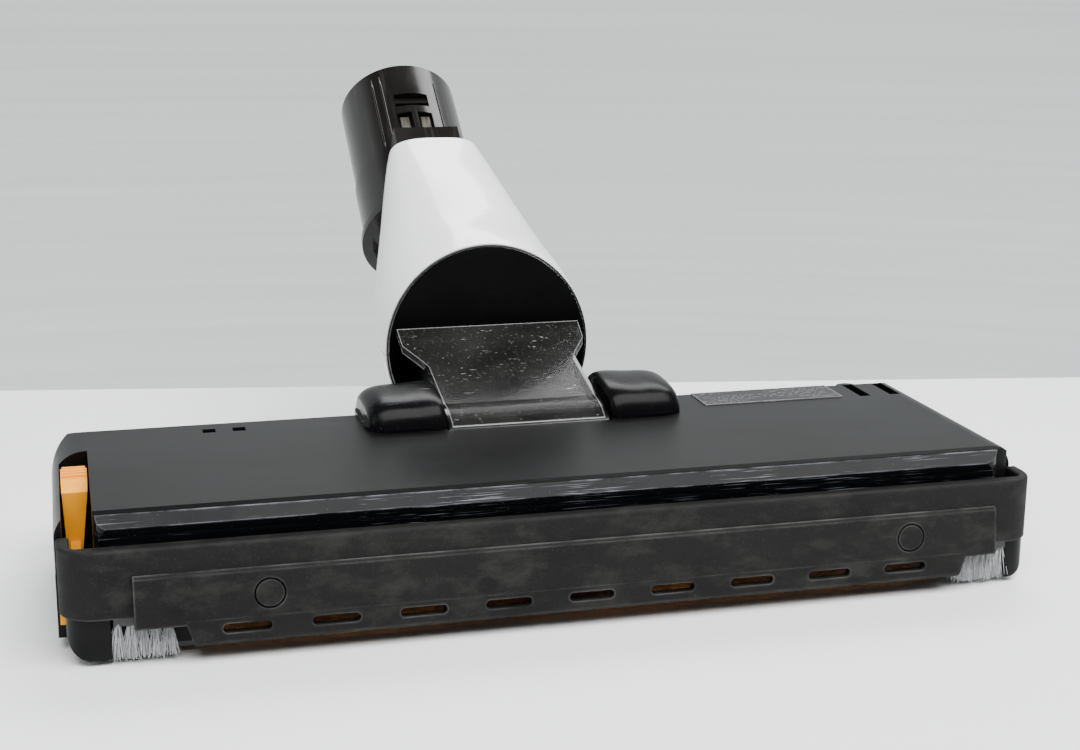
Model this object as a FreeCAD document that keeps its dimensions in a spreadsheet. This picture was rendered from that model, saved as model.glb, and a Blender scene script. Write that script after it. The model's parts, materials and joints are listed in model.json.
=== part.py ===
import FreeCAD, Part
import math
import os
import re

os.makedirs("parts", exist_ok=True)
doc = FreeCAD.newDocument("powered_floor_head")
V = FreeCAD.Vector

# ---------------------------------------------------------------------------
# Driving dimensions, in millimetres and degrees.
# +X runs along the head, +Y points from the bumper to the hose, +Z is up.
# The origin is on the floor, in the middle of the glide strip.
# ---------------------------------------------------------------------------
SIZES = {
    "slot_pitch": 22, "slot_long": 12, "slot_high": 2.4, "slot_z": 8.6,
    "head_left": 133, "head_right": 127, "head_front": 46.5, "head_rear": 43.5,
    "sole_z": 3.5, "split_z": 20, "top_z": 37.4, "wall": 2.2,
    "corner_front": 8, "corner_rear": 24, "edge_round": 9,
    "bumper_front": 51.2, "bumper_top": 29.8, "bumper_low": 12.5, "bumper_thick": 3.2, "shoulder": 4.2,
    "trim_front": 46.4, "trim_back": 43.2, "trim_low": 28.4, "trim_top": 36.6, "trim_face_top": 33.8,
    "panel_half": 115, "panel_low": 10.1, "panel_top": 23.2, "panel_thick": 2.3,
    "lip_low": 4.7, "lip_left": 102.6, "lip_right": 106,
    "plug_radius": 3.5, "plug_left": -82.2, "plug_right": 89.7, "plug_z": 16.6,
    "skid_low": 1.5, "skid_top": 12.2, "skid_front": 49.5, "skid_rear": 36, "skid_round": 6.5,
    "tuft_inner": 106.8, "tuft_pitch": 3, "tuft_low": 1.2, "tuft_top": 10,
    "terminal_x": 3.8, "terminal_first": 28.5, "terminal_last": 43.5, "latch_first": 47, "latch_last": 53.5,
    "hinge_y": 21.5, "hinge_z": 22.5, "barrel_radius": 19, "barrel_half": 23.5, "notch_half": 24.4,
    "cap_inner": 24.6, "cap_outer": 46.2, "cap_front": 9.5, "cap_rear": 38.5, "cap_high": 9,
    "disc_y": 61.8, "disc_z": 48.3, "disc_radius": 31.2, "plug_disc_radius": 29.7,
    "rim_radius": 32, "ring_radius": 32.3, "collar_radius": 19,
    "pipe_y": 155, "pipe_z": 67, "pipe_tilt": 36, "pipe_long": 69, "pipe_radius": 21.5, "pipe_bore": 18,
    "stub_start": 27.6, "root_radius": 22.1, "air_hole_radius": 10, "air_hole_z": 42.3,
    "brush_y": 27, "brush_z": 17, "brush_half": 103, "core_radius": 8, "bristle_radius": 16.4,
    "shaft_radius": 2.5, "brush_pulley_radius": 8, "motor_pulley_radius": 5, "belt_thick": 1.2,
    "pulley_x": 107, "pulley_long": 6, "motor_y": 21, "motor_z": 19.6, "motor_radius": 12.2,
    "motor_x": 62, "motor_long": 38, "wheel_x": 52, "wheel_y": 35, "wheel_radius": 8, "wheel_long": 7,
    "axle_radius": 1.5, "pin_radius": 5, "run_gap": 0.05, "gap": 0.4,
    "seam": 0.35, "split": 47, "hose_radius": 11.6, "hose_thick": 1.4,
    "lever_pin_y": -34, "lever_pin_z": 15, "lever_pin_radius": 1.8,
}
sheet = doc.addObject("Spreadsheet::Sheet", "Sizes")
for row, (alias, value) in enumerate(SIZES.items(), start=1):
    sheet.set("A%d" % row, alias)
    sheet.set("B%d" % row, str(value))
    sheet.setAlias("B%d" % row, alias)
doc.recompute()


def size(alias):
    return float(getattr(sheet, alias))


# ---------------------------------------------------------------------------
# Helpers: primitives bound to the sheet, and solids set by code.
# ---------------------------------------------------------------------------
NODES = []


def bound(text):
    """Turn the alias names in an expression into references to the sheet."""
    return re.sub(r"[a-z][a-z_]+", lambda found: "Sizes." + found.group(0), text)


def place(item, x, y, z):
    item.setExpression("Placement.Base.x", bound(x))
    item.setExpression("Placement.Base.y", bound(y))
    item.setExpression("Placement.Base.z", bound(z))


def box(name, x, y, z, long, wide, high):
    item = doc.addObject("Part::Box", name)
    item.setExpression("Length", bound(long))
    item.setExpression("Width", bound(wide))
    item.setExpression("Height", bound(high))
    place(item, x, y, z)
    return item


def rod(name, x, y, z, radius, long):
    """A cylinder that runs along +X from the given point."""
    item = doc.addObject("Part::Cylinder", name)
    item.Placement = FreeCAD.Placement(V(0, 0, 0), FreeCAD.Rotation(V(0, 1, 0), 90))
    item.setExpression("Radius", bound(radius))
    item.setExpression("Height", bound(long))
    place(item, x, y, z)
    return item


def cut(name, base, tool):
    item = doc.addObject("Part::Cut", name)
    item.Base = base
    item.Tool = tool
    return item


def fuse(name, items):
    item = doc.addObject("Part::MultiFuse", name)
    item.Shapes = items
    return item


def group(name, items):
    item = doc.addObject("Part::Compound", name)
    item.Links = items
    return item


def tube(name, x, y, z, outer, inner, long):
    return cut(name, rod(name + "_outer", x, y, z, outer, long), rod(name + "_bore", x, y, z, inner, long))


def node(label, item):
    """Name a finished sub-part; its label is its file's name."""
    item.Label = label
    NODES.append(item)
    return item


def solid_node(label, shape):
    item = doc.addObject("Part::Feature", label + "_solid")
    item.Shape = shape
    item.Placement = shape.Placement
    return node(label, item)


def block(x0, x1, y0, y1, z0, z1):
    return Part.makeBox(x1 - x0, y1 - y0, z1 - z0, V(x0, y0, z0))


def side_prism(points, x0, x1):
    """Extrude a (y, z) outline along X."""
    corners = [V(x0, y, z) for y, z in points]
    return Part.Face(Part.makePolygon(corners + corners[:1])).extrude(V(x1 - x0, 0, 0))


def round_prism(a0, a1, b0, b1, radii, low, high, axis):
    """Extrude a rectangle with its own radius at each corner (a0b0, a1b0, a1b1, a0b1)."""
    def point(a, b):
        return V(a, b, low) if axis == "Z" else V(a, low, b)
    signs = [(a0, b0, 1, 1), (a1, b0, -1, 1), (a1, b1, -1, -1), (a0, b1, 1, -1)]
    half = math.sqrt(0.5)
    ends = []
    for (a, b, along, up), radius in zip(signs, radii):
        first = (a, b + up * radius)
        middle = (a + along * radius * (1 - half), b + up * radius * (1 - half))
        last = (a + along * radius, b)
        ends.append([first, middle, last] if along == up else [last, middle, first])
    edges = []
    for index, (first, middle, last) in enumerate(ends):
        following = ends[(index + 1) % 4][0]
        edges.append(Part.Arc(point(*first), point(*middle), point(*last)).toShape())
        edges.append(Part.LineSegment(point(*last), point(*following)).toShape())
    sweep = V(0, 0, high - low) if axis == "Z" else V(0, high - low, 0)
    return Part.Face(Part.Wire(edges)).extrude(sweep)


def cylinder_x(y, z, radius, x0, x1):
    return Part.makeCylinder(radius, x1 - x0, V(x0, y, z), V(1, 0, 0))


def cylinder_y(x, z, radius, y0, y1):
    return Part.makeCylinder(radius, y1 - y0, V(x, y0, z), V(0, 1, 0))


def cylinder_z(x, y, radius, z0, z1):
    return Part.makeCylinder(radius, z1 - z0, V(x, y, z0))


def round_top(shape, radius, test):
    edges = [edge for edge in shape.Edges if test(edge.BoundBox)]
    return shape.makeFillet(radius, edges) if edges else shape


# ---------------------------------------------------------------------------
# Values used by more than one sub-part
# ---------------------------------------------------------------------------
left, right = -size("head_left"), size("head_right")
front, rear = -size("head_front"), size("head_rear")
wall, gap = size("wall"), size("gap")
sole_z, split_z, top_z = size("sole_z"), size("split_z"), size("top_z")
hinge_y, hinge_z = size("hinge_y"), size("hinge_z")
barrel, barrel_half, notch = size("barrel_radius"), size("barrel_half"), size("notch_half")
shoulder = size("shoulder")
brush_y, brush_z = -size("brush_y"), size("brush_z")
slot_half_span = 4.6 * size("slot_pitch")
SHOULDER_Y = -37.0
LEVER_X0, LEVER_X1 = left + 2.0, left + 9.6
LEVER_REAR = 11.0
MOUTH_HALF = 104.5
MOUTH_FRONT, MOUTH_REAR = front + 2.6, -8.5


def hinge_notch():
    """The space in the head that the neck's barrel and duct turn in."""
    round_part = cylinder_x(hinge_y, hinge_z, barrel + 2 * gap, -notch, notch)
    return round_part.fuse(block(-notch, notch, hinge_y, 70, -1, 70))


def shoulders(z0, z1):
    """Stepped front corners that the bumper's ends wrap around."""
    low = block(left - 1, left + shoulder, front - 9, SHOULDER_Y, z0, z1)
    return low.fuse(block(right - shoulder, right + 1, front - 9, SHOULDER_Y, z0, z1))


def lever_slot(z0, z1):
    return block(LEVER_X0, LEVER_X1, front - 9, LEVER_REAR, z0, z1)


def wheel_wells():
    wells = []
    for side in (-1, 1):
        x = side * size("wheel_x")
        half = size("wheel_long") / 2 + 1.2
        reach = size("wheel_radius") + 1.3
        y = size("wheel_y")
        top = size("wheel_radius") + reach
        wells.append(block(x - half, x + half, y - reach, min(y + reach, rear + 1), -1, top))
    return wells[0].fuse(wells[1])


# ---------------------------------------------------------------------------
# Head: base housing, cover and trim
# ---------------------------------------------------------------------------
corner_radii = [size("corner_front")] * 2 + [size("corner_rear")] * 2


def plan(inset, z0, z1, y0=front):
    radii = [max(radius - inset, 2.0) for radius in corner_radii]
    return round_prism(left + inset, right - inset, y0 + inset, rear - inset, radii, z0, z1, "Z")


base = plan(0, sole_z, split_z)
base = base.cut(shoulders(-1, 60))
hollow = plan(wall, sole_z + wall, split_z + 1)
hollow = hollow.cut(block(left - 1, left + shoulder + wall, front - 9, SHOULDER_Y + wall, 0, 60))
hollow = hollow.cut(block(right - shoulder - wall, right + 1, front - 9, SHOULDER_Y + wall, 0, 60))
base = base.cut(hollow)
base = base.fuse(block(-MOUTH_HALF, MOUTH_HALF, MOUTH_REAR, MOUTH_REAR + 2, sole_z + 1, split_z))
base = base.fuse(block(LEVER_X1, LEVER_X1 + 2, front + 1, LEVER_REAR, sole_z + 1, split_z))
base = base.fuse(block(LEVER_X0 - 1, LEVER_X1 + 2, LEVER_REAR, LEVER_REAR + 2, sole_z + 1, split_z))
for x0, x1 in ((-111.5, -MOUTH_HALF), (113.6, 120)):
    base = base.fuse(block(x0, x1, brush_y - 8, brush_y + 8, sole_z + 1, brush_z + 8))
base = base.cut(block(-MOUTH_HALF, MOUTH_HALF, MOUTH_FRONT, MOUTH_REAR, -1, sole_z + wall + 1))
base = base.cut(block(-slot_half_span, slot_half_span, front - 1, MOUTH_FRONT + 1, sole_z - 1, 13.5))
base = base.cut(block(-20, 20, MOUTH_REAR - 1, MOUTH_REAR + 3, sole_z + wall, split_z + 1))
base = base.cut(hinge_notch())
base = base.cut(lever_slot(sole_z + 2, 60))
base = base.cut(wheel_wells())
pin_y, pin_z = size("lever_pin_y"), size("lever_pin_z")
base = base.cut(cylinder_x(pin_y, pin_z, size("lever_pin_radius"), left - 1, LEVER_X1 + 3))
for x0, x1 in ((-110.5, -105.5), (114, 119)):
    base = base.cut(cylinder_x(brush_y, brush_z, 6, x0, x1))
base = base.cut(cylinder_x(brush_y, brush_z, size("shaft_radius") + 1, -112, 121))
for x0, x1, outer in ((left + 2, left + 12.6, 0), (right - 6.8, right + 0.4, 1)):
    plan_radii, front_radii = [0.6, 0.6, 0.6, 0.6], [0.6, 0.6, 0.6, 0.6]
    plan_radii[outer] = size("skid_round") - 1
    front_radii[outer] = size("skid_round") - 0.5
    y0, y1 = -size("skid_front"), -size("skid_rear")
    skid = round_prism(x0, x1, y0, y1, plan_radii, size("skid_low"), size("skid_top"), "Z")
    skid = skid.common(round_prism(x0, x1, size("skid_low"), size("skid_top"), front_radii, y0, y1, "Y"))
    base = base.fuse(skid.cut(block(LEVER_X0 - 0.1, LEVER_X1, front + 2, 0, sole_z + 2, 60)))
screw_places = [(-112, 20), (110, 35.5), (-72, -2.8), (72, -2.8)]
for x, y in screw_places:
    base = base.cut(cylinder_z(x, y, 1.6, 0, 12))
    base = base.cut(cylinder_z(x, y, 3.2, 0, sole_z + 1.4))
solid_node("base_housing", base.removeSplitter())


def cover_form(inset, z0):
    """The cover's outer form, or the same form moved inwards by inset."""
    block_plan = plan(inset, z0, top_z + 5, -size("trim_back"))
    ends = [1, 1, size("edge_round"), size("edge_round")]
    side_view = round_prism(left + inset, right - inset, z0 - 20, top_z - inset, ends, -90, 90, "Y")
    reach = size("head_rear") - inset
    low = -size("trim_back") + inset
    high = top_z - inset
    outline = [(low, z0), (low, high - 0.6), (low + 1.2, high), (reach - 13, high), (reach - 5, high - 2.6)]
    outline += [(reach - 1, high - 7.5), (reach, high - 12), (reach, z0)]
    return block_plan.common(side_view).common(side_prism(outline, left - 5, right + 5))


def slanted_corner(points):
    """A thick slab outside the triangle through three points, for taking off a corner."""
    first, second, third = [V(*point) for point in points]
    outward = (second - first).cross(third - first)
    outward.normalize()
    return Part.Face(Part.makePolygon([first, second, third, first])).extrude(outward * 25)


def eased_corner(solid):
    """Ease the cover's front right corner down in two shallow slopes."""
    y = -size("trim_back") - 0.5
    x = right + 0.5
    gentle = [(x, 4, top_z + 0.2), (right - 7.5, y, top_z + 0.2), (x, y, top_z - 4.5)]
    steep = [(x, -16, top_z - 0.6), (right - 4, y, top_z - 0.6), (x, y, top_z - 9)]
    return solid.cut(slanted_corner(gentle)).cut(slanted_corner(steep))


cover = cover_form(0, split_z)
cover = eased_corner(cover)
cover = cover.cut(shoulders(0, 60))
cover_hollow = cover_form(wall, split_z - 1)
cover_hollow = cover_hollow.cut(block(left - 1, left + shoulder + wall, -80, SHOULDER_Y + wall, 0, 60))
cover_hollow = cover_hollow.cut(block(right - shoulder - wall, right + 1, -80, SHOULDER_Y + wall, 0, 60))
cover = cover.cut(cover_hollow)
end_wall = block(LEVER_X1, LEVER_X1 + 2, -42, LEVER_REAR + 2, split_z, top_z - 1)
end_wall = end_wall.fuse(block(LEVER_X0 - 1, LEVER_X1 + 2, LEVER_REAR, LEVER_REAR + 2, split_z, top_z - 1))
cover = cover.fuse(end_wall.common(cover_form(0.5, split_z)))
cover = cover.cut(lever_slot(0, 60))
cover = cover.cut(hinge_notch())
cover = cover.cut(cylinder_x(brush_y, brush_z, size("bristle_radius") + gap, -MOUTH_HALF, MOUTH_HALF))
for x, y in screw_places:
    boss = cylinder_z(x, y, 3.4, sole_z + wall + 0.1, top_z - wall + 0.5)
    cover = cover.fuse(boss.cut(cylinder_z(x, y, 1.6, 0, 14)))
for x in (-89.8, -81.4):
    cover = cover.cut(block(x - 1.8, x + 1.8, 21.6, 25.2, top_z - 6, top_z + 1))
for x in (107.6, 117.4):
    cover = cover.cut(block(x - 1.7, x + 1.7, 16.5, 31.5, top_z - 8, top_z + 1))
solid_node("top_cover", cover.removeSplitter())

trim_y, trim_low, face_top = -size("trim_front"), size("trim_low"), size("trim_face_top")
trim_outline = [(-size("trim_back"), trim_low), (trim_y + 1.2, trim_low), (trim_y + 0.9, face_top - 2.4),
                (trim_y, face_top), (-size("trim_back"), size("trim_top"))]
trim_ends = round_prism(LEVER_X1 + 0.4, right - 7, trim_y, 0, [3, 6, 2, 2], 0, 60, "Z")
solid_node("front_trim", side_prism(trim_outline, left, right).common(trim_ends))

bumper_outer = round_prism(left + 0.5, right + 1.5, -size("bumper_front"), SHOULDER_Y - 0.4, [9, 9, 0.5, 0.5],
                           size("bumper_low"), size("bumper_top"), "Z")
bumper_thick = size("bumper_thick")
bumper_inner = round_prism(left + 0.5 + bumper_thick, right + 1.5 - bumper_thick, front, 0, [2, 2, 1, 1],
                           0, 60, "Z")
bumper = bumper_outer.cut(bumper_inner)
bumper = round_top(bumper, 0.9, lambda area: (area.ZMin > size("bumper_top") - 0.01
                                              and area.YMin < SHOULDER_Y - 2))
solid_node("bumper", bumper)

face_y = -size("bumper_front")
panel_thick = size("panel_thick")
panel_low, panel_top, lip_low = size("panel_low"), size("panel_top"), size("lip_low")
panel = side_prism([(face_y, panel_top), (face_y - panel_thick / 2, panel_top - 0.8),
                    (face_y - panel_thick, panel_low), (face_y, panel_low)],
                   -size("panel_half"), size("panel_half"))
lip_x0, lip_x1 = -size("lip_left"), size("lip_right")
lip = side_prism([(face_y, panel_low + 1), (face_y - panel_thick, panel_low + 1),
                  (face_y - 2.7, lip_low + 0.7), (face_y - 2.2, lip_low), (face_y, lip_low)], lip_x0, lip_x1)
lip_outline = [(lip_x0, panel_low + 2), (lip_x1, panel_low + 2), (lip_x1, panel_low),
               (lip_x1 - 2.2, lip_low - 1), (lip_x0 + 2, lip_low - 1), (lip_x0, panel_low)]
lip_front = [V(x, -80, z) for x, z in lip_outline]
panel = panel.fuse(lip.common(Part.Face(Part.makePolygon(lip_front + lip_front[:1])).extrude(V(0, 60, 0))))
for index in range(9):
    x = (index - 4) * size("slot_pitch")
    half = size("slot_long") / 2
    high = size("slot_high") / 2
    slot = round_prism(x - half, x + half, size("slot_z") - high, size("slot_z") + high, [high - 0.05] * 4,
                       -60, -40, "Y")
    panel = panel.cut(slot)
plugs = []
for x in (size("plug_left"), size("plug_right")):
    panel = panel.cut(cylinder_y(x, size("plug_z"), size("plug_radius") + 0.45, -60, face_y))
    plugs.append(cylinder_y(x, size("plug_z"), size("plug_radius"), face_y - 1.7, face_y))
solid_node("front_panel", panel.removeSplitter())
solid_node("panel_plugs", Part.makeCompound(plugs))


CAP_LINE = [(0.0, -0.15), (0.02, 0.36), (0.1, 0.7), (0.27, 0.91), (0.52, 1.0), (0.78, 0.93), (0.94, 0.6),
            (1.0, -0.25)]


def cap_section(x, spread, rise):
    """One slice of a hinge cap: a domed line over the hinge, closed below the cover's face."""
    middle = (size("cap_front") + size("cap_rear")) / 2
    reach = (size("cap_rear") - size("cap_front")) * spread
    high = size("cap_high") * rise
    points = [V(x, middle + (share - 0.5) * reach, top_z + up * high) for share, up in CAP_LINE]
    curve = Part.BSplineCurve()
    curve.interpolate(points)
    corners = [points[-1], V(x, points[-1].y, top_z - 8), V(x, points[0].y, top_z - 8), points[0]]
    sides = [Part.LineSegment(start, end).toShape() for start, end in zip(corners, corners[1:])]
    return Part.Wire([curve.toShape()] + sides)


def hinge_cap(side):
    """Domed hood over one end of the hinge, standing on a rounded foot on the cover."""
    inner, outer = size("cap_inner"), size("cap_outer")
    slices = [(inner, 0.96, 0.95), (inner + 1.0, 1.0, 1.0), (outer - 8, 1.0, 0.99), (outer - 3.5, 0.96, 0.93),
              (outer - 0.8, 0.87, 0.76), (outer, 0.78, 0.58)]
    hood = Part.makeLoft([cap_section(side * x, spread, rise) for x, spread, rise in slices], True, False)
    x0, x1 = sorted((side * (inner - 0.2), side * (outer + 0.9)))
    radii = [3, 8, 8, 3] if side > 0 else [8, 3, 3, 8]
    y0, y1 = size("cap_front") - 0.9, size("cap_rear") + 0.9
    foot = round_prism(x0, x1, y0, y1, radii, top_z - 1, top_z + 1, "Z")
    return hood.fuse(foot).cut(cover_form(0, split_z)).removeSplitter()


solid_node("hinge_cap_left", hinge_cap(-1))
solid_node("hinge_cap_right", hinge_cap(1))

pin_radius = size("pin_radius")
blocks = []
for side in (-1, 1):
    x0, x1 = (24.8, 37.4) if side > 0 else (-37.4, -24.8)
    ear = block(x0, x1, hinge_y - 9, hinge_y + 9, sole_z + wall, top_z - wall - 1.2)
    blocks.append(ear.cut(cylinder_x(hinge_y, hinge_z, pin_radius + size("run_gap"), x0 - 1, x1 + 1)))
solid_node("pivot_block_left", blocks[0])
solid_node("pivot_block_right", blocks[1])

node("rating_label", box("label_box", "56", "17", "top_z", "44", "13.5", "0.3"))
node("glide_strip", box("glide_box", "0-60", "0-4", "0", "120", "8", "sole_z"))

sole_low = sole_z - 1.5
bars = [block(-MOUTH_HALF - 5, MOUTH_HALF + 5, front + 0.6, MOUTH_FRONT - 0.2, sole_low, sole_z),
        block(-MOUTH_HALF - 5, MOUTH_HALF + 5, MOUTH_REAR, MOUTH_REAR + 3.6, sole_low, sole_z),
        block(-MOUTH_HALF - 5, -MOUTH_HALF + 1, MOUTH_FRONT - 0.2, MOUTH_REAR, sole_low, sole_z),
        block(MOUTH_HALF - 1, MOUTH_HALF + 5, MOUTH_FRONT - 0.2, MOUTH_REAR, sole_low, sole_z)]
solid_node("sole_frame", Part.makeCompound(bars))

screws = []
for x, y in screw_places:
    shank = cylinder_z(x, y, 1.55, sole_z + 1.4, 11.5)
    screws.append(shank.fuse(cylinder_z(x, y, 3.0, sole_z, sole_z + 1.4)))
solid_node("housing_screws", Part.makeCompound(screws))

tufts = []
holders = []
TUFT_Y = front - 1.9
tuft_long = size("tuft_top") - size("tuft_low")
for side in (-1, 1):
    for index in range(5):
        x = side * (size("tuft_inner") + size("tuft_pitch") * index)
        tufts.append(Part.makeCone(1.05, 1.2, tuft_long, V(x, TUFT_Y, size("tuft_top")), V(0, -0.06, -1)))
    outer_tuft = size("tuft_inner") + 4 * size("tuft_pitch")
    x0, x1 = sorted((side * (size("tuft_inner") - 1.2), side * (outer_tuft + 1.1)))
    holders.append(block(x0, x1, front - 3.4, front, size("tuft_top") + 0.15, size("bumper_low") - 0.05))
solid_node("corner_bristles", Part.makeCompound(tufts))
solid_node("bristle_holders", Part.makeCompound(holders))

# ---------------------------------------------------------------------------
# Brush roll, its drive and the wheels
# ---------------------------------------------------------------------------
node("brush_shaft", rod("shaft_rod", "0-110.3", "0-brush_y", "brush_z", "shaft_radius", "229"))
node("brush_core", tube("core_tube", "0-brush_half", "0-brush_y", "brush_z", "core_radius", "shaft_radius",
                        "2*brush_half"))
node("brush_pulley", tube("brush_pulley_tube", "pulley_x", "0-brush_y", "brush_z", "brush_pulley_radius",
                          "shaft_radius", "pulley_long"))
node("brush_bearings", group("bearing_pair", [
    tube("bearing_left", "0-110.5", "0-brush_y", "brush_z", "6", "shaft_radius+run_gap", "5"),
    tube("bearing_right", "114", "0-brush_y", "brush_z", "6", "shaft_radius+run_gap", "5")]))


def roll_rows(first_angle, thick, reach):
    """Three rows along the roll, each twisted half a turn from end to end."""
    rows = []
    steps = 26
    span = 2 * size("brush_half") / steps
    for row in range(3):
        for step in range(steps):
            x = -size("brush_half") + step * span
            fin = block(x + 0.05, x + span - 0.05, -thick / 2, thick / 2, size("core_radius") - 0.25, reach)
            fin.rotate(V(0, 0, 0), V(1, 0, 0), first_angle + row * 120 + step * 180.0 / steps)
            fin.translate(V(0, brush_y, brush_z))
            rows.append(fin)
    core = cylinder_x(brush_y, brush_z, size("core_radius"), -size("brush_half") - 1, size("brush_half") + 1)
    return Part.makeCompound([fin.cut(core) for fin in rows])


solid_node("brush_bristles", roll_rows(0, 3.2, size("bristle_radius")))
solid_node("brush_blades", roll_rows(60, 1.6, size("bristle_radius") - 0.6))

motor_y, motor_z = size("motor_y"), size("motor_z")
node("motor_can", tube("can_tube", "motor_x", "motor_y", "motor_z", "motor_radius", "motor_radius-1",
                       "motor_long"))
node("motor_end_cap", tube("end_cap_tube", "motor_x-2", "motor_y", "motor_z", "motor_radius", "2.2", "2"))
node("motor_shaft", rod("motor_shaft_rod", "motor_x-3", "motor_y", "motor_z", "1.5",
                        "pulley_x+pulley_long-motor_x+3"))
node("motor_armature", tube("armature_tube", "motor_x+3", "motor_y", "motor_z", "motor_radius-2.4", "1.5",
                            "motor_long-6"))
node("motor_pulley", tube("motor_pulley_tube", "pulley_x", "motor_y", "motor_z", "motor_pulley_radius", "1.5",
                          "pulley_long"))
motor_x1 = size("motor_x") + size("motor_long")
cradle = block(size("motor_x") + 4, motor_x1 - 4, motor_y - 14.5, motor_y + 14.5, sole_z + wall, motor_z - 4)
cradle = cradle.cut(cylinder_x(motor_y, motor_z, size("motor_radius") + 0.02, 0, 130))
solid_node("motor_cradle", cradle.cut(block(0, 130, -40, 60, 0, sole_z + wall + 0.01)))
end_plate = cylinder_x(motor_y, motor_z, size("motor_radius"), motor_x1, motor_x1 + 2)
solid_node("motor_front_bearing", end_plate.cut(cylinder_x(motor_y, motor_z, 1.5 + size("run_gap"), 0, 130)))


def belt_form(big, small):
    """The outline that a belt takes round the two pulleys, as a solid along X."""
    x0 = size("pulley_x") + 0.6
    x1 = x0 + size("pulley_long") - 1.2
    across = V(0, motor_y - brush_y, motor_z - brush_z)
    lean = math.asin((big - small) / across.Length)
    along = math.atan2(across.z, across.y)
    points = []
    for centre, radius, side in (((brush_y, brush_z), big, 1), ((motor_y, motor_z), small, 1),
                                 ((motor_y, motor_z), small, -1), ((brush_y, brush_z), big, -1)):
        angle = along + side * (math.pi / 2 - lean)
        points.append((centre[0] + radius * math.cos(angle), centre[1] + radius * math.sin(angle)))
    form = side_prism(points, x0, x1)
    form = form.fuse(cylinder_x(brush_y, brush_z, big, x0, x1))
    return form.fuse(cylinder_x(motor_y, motor_z, small, x0, x1))


slack = 0.1
big, small = size("brush_pulley_radius") + slack, size("motor_pulley_radius") + slack
thick = size("belt_thick")
solid_node("drive_belt", belt_form(big + thick, small + thick).cut(belt_form(big, small)).removeSplitter())

node("circuit_board", box("board_box", "0-102", "2", "12", "46", "26", "1.6"))
board_top = 13.6
parts_on_board = [block(-98, -90, 6, 14, board_top, 22), cylinder_z(-82, 16, 4, board_top, 25),
                  block(-74, -66, 8, 20, board_top, 19), cylinder_z(-62, 22, 3, board_top, 21)]
solid_node("board_components", Part.makeCompound(parts_on_board))
posts = [cylinder_z(x, y, 2.2, sole_z + wall, 12) for x in (-99, -59) for y in (5, 25)]
solid_node("board_posts", Part.makeCompound(posts))

for side, label in ((-1, "wheel_left"), (1, "wheel_right")):
    x = size("wheel_x") * side
    half = size("wheel_long") / 2
    y, z = size("wheel_y"), size("wheel_radius")
    disc = cylinder_x(y, z, size("wheel_radius"), x - half, x + half)
    disc = disc.cut(cylinder_x(y, z, size("axle_radius") + size("run_gap"), x - 9, x + 9))
    solid_node(label, round_top(disc, 0.8, lambda area: area.YLength > 12))
axles = []
for side in (-1, 1):
    x = size("wheel_x") * side
    half = size("wheel_long") / 2 + 3
    axles.append(cylinder_x(size("wheel_y"), size("wheel_radius"), size("axle_radius"), x - half, x + half))
solid_node("wheel_axles", Part.makeCompound(axles))

# ---------------------------------------------------------------------------
# Release lever at the left end
# ---------------------------------------------------------------------------
PLATE_X0, PLATE_X1 = left + 4.1, left + 6.6
TAB_X0, TAB_X1 = left + 2.4, left + 9.2
TAB_FRONT, TAB_TOP = -13.0, 35.4
lever = side_prism([(-43, 8), (-40, 6.4), (-33, 7.5), (-30, 12), (-8, 14.5), (-8, 20), (-20, 20.5), (-30, 22),
                    (-43, 24)], PLATE_X0, PLATE_X1)
wedge_corners = [V(x, TAB_FRONT, z) for x, z in ((PLATE_X0 - 0.7, 13), (TAB_X0, TAB_TOP), (TAB_X1, TAB_TOP),
                                                 (PLATE_X1, 13), (PLATE_X0 - 0.7, 13))]
wedge = Part.Face(Part.makePolygon(wedge_corners)).extrude(V(0, 22, 0))
tab_side = [(TAB_FRONT, 14), (-8, 14.5), (-2, 18), (4, 29.5), (5, 33), (2, TAB_TOP), (-7, TAB_TOP - 0.4),
            (TAB_FRONT, 33.4)]
lever = lever.fuse(side_prism(tab_side, left, left + 12).common(wedge))
for index in range(4):
    y = -5.4 + 2.3 * index
    lever = lever.fuse(block(TAB_X0 + 0.4, TAB_X1 - 0.4, y, y + 1, TAB_TOP - 2.4, TAB_TOP + 0.4))
lever = lever.fuse(block(left + 0.7, PLATE_X1, -42, -38, 8.8, 11.4))
lever = lever.cut(cylinder_x(pin_y, pin_z, size("lever_pin_radius") + size("run_gap"), left - 1, -100))
solid_node("release_lever", lever.removeSplitter())
solid_node("lever_pin", cylinder_x(pin_y, pin_z, size("lever_pin_radius"), left + 0.2, LEVER_X1 + 1.9))
spring_x = (PLATE_X0 + PLATE_X1) / 2
spring = cylinder_z(spring_x, -14, 1.9, sole_z + 2.02, 13.5)
solid_node("lever_spring", spring.cut(cylinder_z(spring_x, -14, 1.3, 0, 40)))

# ---------------------------------------------------------------------------
# Elbow: the part that tilts in the head
# ---------------------------------------------------------------------------
disc_y, disc_z = size("disc_y"), size("disc_z")
top_line = [(hinge_y, hinge_z + barrel), (47.9, 48.3), (disc_y, 55.2)]
low_line = [(disc_y, 21.0), (29.5, 5.3)]


def elbow_form(inset):
    half = barrel_half - inset
    drum = cylinder_x(hinge_y, hinge_z, barrel - inset, -half, half)
    outline = [(y, z - inset * 1.04) for y, z in top_line] + [(y, z + inset * 1.1) for y, z in low_line]
    outline += [(hinge_y, hinge_z)]
    return drum.fuse(side_prism(outline, -half, half))


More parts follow.
